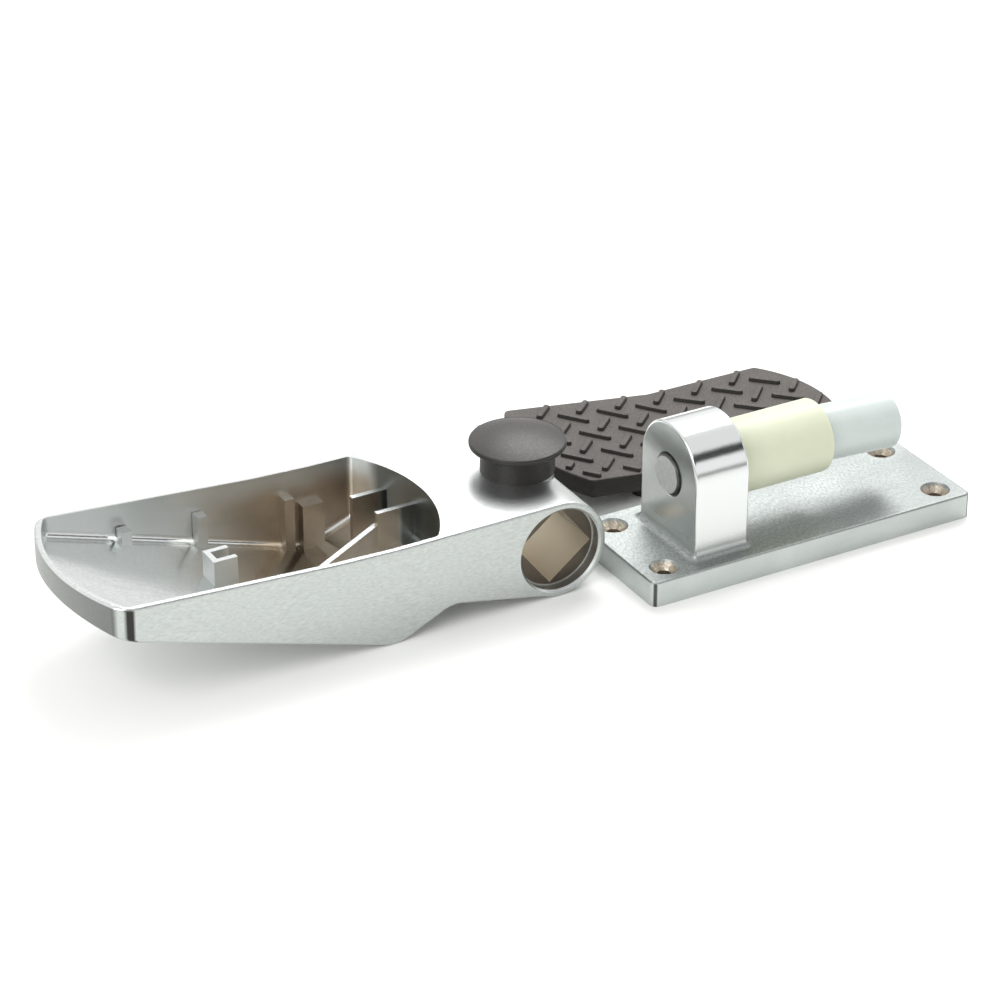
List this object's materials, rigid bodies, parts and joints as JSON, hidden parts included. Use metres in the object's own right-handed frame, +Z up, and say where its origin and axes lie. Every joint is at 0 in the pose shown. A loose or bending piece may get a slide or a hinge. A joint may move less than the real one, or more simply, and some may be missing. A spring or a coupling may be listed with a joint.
{
  "type": "foot treadle for a door, as a kit",
  "caption": "Cast foot treadle laid out as a kit: base with arched boss and pin, bush and sleeve, hollow pedal with a cross barrel, mushroom bumper and tread pad.",
  "frame": {"origin": "middle of the base plate's underside, on the surface that the whole kit lies on", "axes": "+X along the pivot pin towards the sleeve, +Y across the base towards the pad, +Z up"},
  "size_m": [0.3594, 0.14, 0.0588],
  "materials": {
    "satin_chrome": "cast, linished and chrome plated",
    "bright_chrome": "cast, polished and chrome plated",
    "pin_steel": "turned",
    "natural_nylon": "turned natural nylon",
    "white_acetal": "moulded",
    "bumper_rubber": "moulded, slight sheen",
    "tread_rubber": "moulded diamond tread, matte"
  },
  "bodies": {
    "base": {"base_casting": "satin_chrome", "pivot_pin": "pin_steel"},
    "bush": {"nylon_bush": "natural_nylon"},
    "sleeve": {"acetal_sleeve": "white_acetal"},
    "pedal": {"pedal_casting": "bright_chrome"},
    "bumper": {"rubber_bumper": "bumper_rubber"},
    "pad": {"tread_pad": "tread_rubber"}
  },
  "joints": [
    {"name": "bush_turn", "type": "hinge", "parent": "base", "child": "bush", "pos_m": [0, 0, 0.0376], "axis": [1, 0, 0], "continuous": true},
    {"name": "sleeve_turn", "type": "hinge", "parent": "base", "child": "sleeve", "pos_m": [0.01727, 0, 0.0376], "axis": [0.9981, 0, -0.061], "continuous": true},
    {"name": "pedal_swing", "type": "hinge", "parent": "base", "child": "pedal", "pos_m": [-0.0979, 0.034, 0.0195], "axis": [0, 1, 0], "range_deg": [0, 25]},
    {"name": "bumper_pull", "type": "slide", "parent": "pedal", "child": "bumper", "axis": [0, 0, 1], "range_m": [0, 0.025]},
    {"name": "pad_lift", "type": "slide", "parent": "base", "child": "pad", "axis": [0, 0, 1], "range_m": [0, 0.12]}
  ]
}
